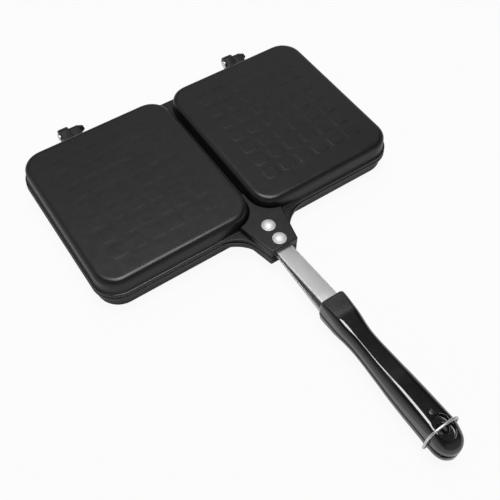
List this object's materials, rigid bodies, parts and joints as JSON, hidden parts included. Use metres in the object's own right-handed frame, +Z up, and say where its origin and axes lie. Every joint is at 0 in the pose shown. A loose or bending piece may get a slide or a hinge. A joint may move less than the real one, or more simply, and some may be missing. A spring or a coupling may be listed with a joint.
{
  "type": "pie iron",
  "caption": "Hinged pie iron with square trays side by side, flat steel tangs riveted to the pans, moulded grips and a wire ring that locks the closed handles together.",
  "frame": {"origin": "on the surface that the closed iron rests on, under the middle of its whole length and width", "axes": "+X across the trays, -Y along the handles to their end, +Y to the hinges, +Z up out of the top tray"},
  "size_m": [0.2792, 0.4056, 0.034],
  "materials": {
    "pan_coating": "cast aluminium under a satin black non-stick coating",
    "tang_steel": "flat bar, satin, with fine lengthwise lines",
    "rivet_metal": "bright domed heads, lightly polished",
    "bright_steel": "bright drawn wire and turned pins",
    "dark_steel": "blackened screw with a cross recess",
    "grip_plastic": "hard black moulding, glossy sides and a satin front pad"
  },
  "bodies": {
    "lower_half": {"lower_pan": "pan_coating", "left_hinge_pin": "bright_steel", "right_hinge_pin": "bright_steel", "lower_tang": "tang_steel", "lower_rivets": "rivet_metal", "lower_grip": "grip_plastic", "lower_grip_screw": "dark_steel"},
    "upper_half": {"upper_pan": "pan_coating", "upper_tang": "tang_steel", "upper_rivets": "rivet_metal", "upper_grip": "grip_plastic", "upper_grip_screw": "dark_steel"},
    "lock_ring": {"lock_ring": "bright_steel"}
  },
  "joints": [
    {"name": "pan_hinge", "type": "hinge", "parent": "lower_half", "child": "upper_half", "pos_m": [0, 0.1964, 0.017], "axis": [-1, 0, 0], "range_deg": [0, 180]},
    {"name": "ring_pivot", "type": "hinge", "parent": "lower_half", "child": "lock_ring", "pos_m": [0, -0.1863, 0.0125], "axis": [1, 0, 0], "range_deg": [0, 230]}
  ]
}
